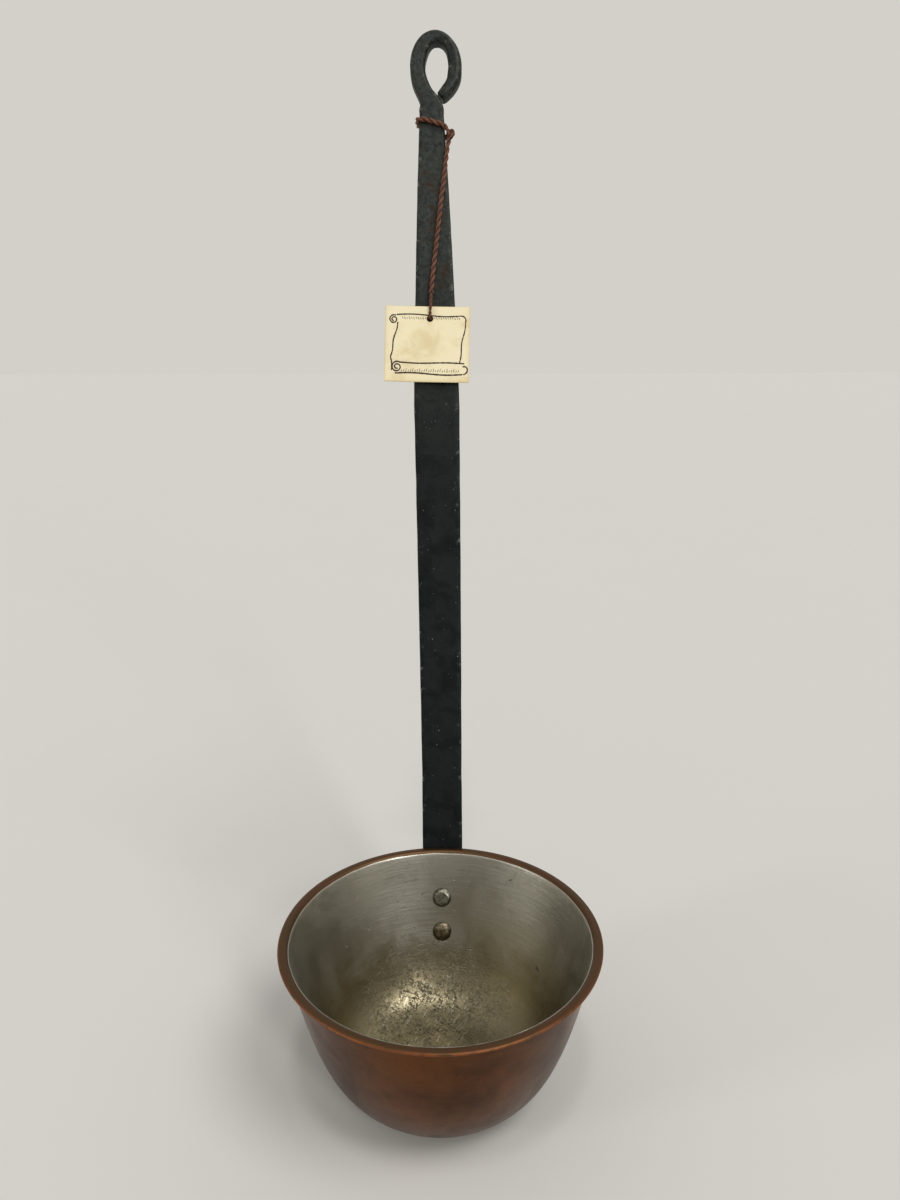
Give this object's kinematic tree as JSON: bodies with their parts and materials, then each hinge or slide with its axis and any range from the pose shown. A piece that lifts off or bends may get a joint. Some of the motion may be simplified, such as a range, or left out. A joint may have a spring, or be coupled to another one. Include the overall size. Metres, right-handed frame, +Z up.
{
  "type": "ladle",
  "caption": "Deep round copper ladle, tinned inside, with a long flat forged iron handle riveted to its wall, a teardrop hanging eye and a card tag on a string.",
  "frame": {"origin": "centre of the bowl's flat base, on the surface it stands on", "axes": "+Z up out of the bowl's mouth, +Y from the bowl towards the handle, +X to the right seen from the bowl's side"},
  "size_m": [0.15, 0.2857, 0.5093],
  "materials": {
    "copper": "aged satin copper, planished",
    "tin": "wiped tin, worn and pitted",
    "forged_iron": "forge scale, satin",
    "tinned_rivet": "hammered and tinned",
    "copper_rivet": "hammered, worn to the copper",
    "string": "twisted red-brown thread",
    "card": "aged cream card"
  },
  "bodies": {
    "ladle": {"bowl": "copper", "tin_lining": "tin", "handle": "forged_iron", "rivet_upper": "tinned_rivet", "rivet_lower": "copper_rivet", "string_collar": "string"},
    "hitch": {"string_knot": "string"},
    "string": {"string_drop": "string", "string_loop": "string"},
    "tag": {"hang_tag": "card"}
  },
  "joints": [
    {"name": "string_swing", "type": "hinge", "parent": "ladle", "child": "hitch", "pos_m": [0.00562, 0.18575, 0.45308], "axis": [0, -0.9578, 0.2874], "range_deg": [-60, 100]},
    {"name": "string_lift", "type": "hinge", "parent": "hitch", "child": "string", "pos_m": [0.00562, 0.18575, 0.45308], "axis": [-1, 0, 0], "range_deg": [0, 75]},
    {"name": "tag_swing", "type": "hinge", "parent": "string", "child": "tag", "pos_m": [-0.00598, 0.1563, 0.35491], "axis": [0, -0.9578, 0.2874], "range_deg": [-45, 45]}
  ]
}
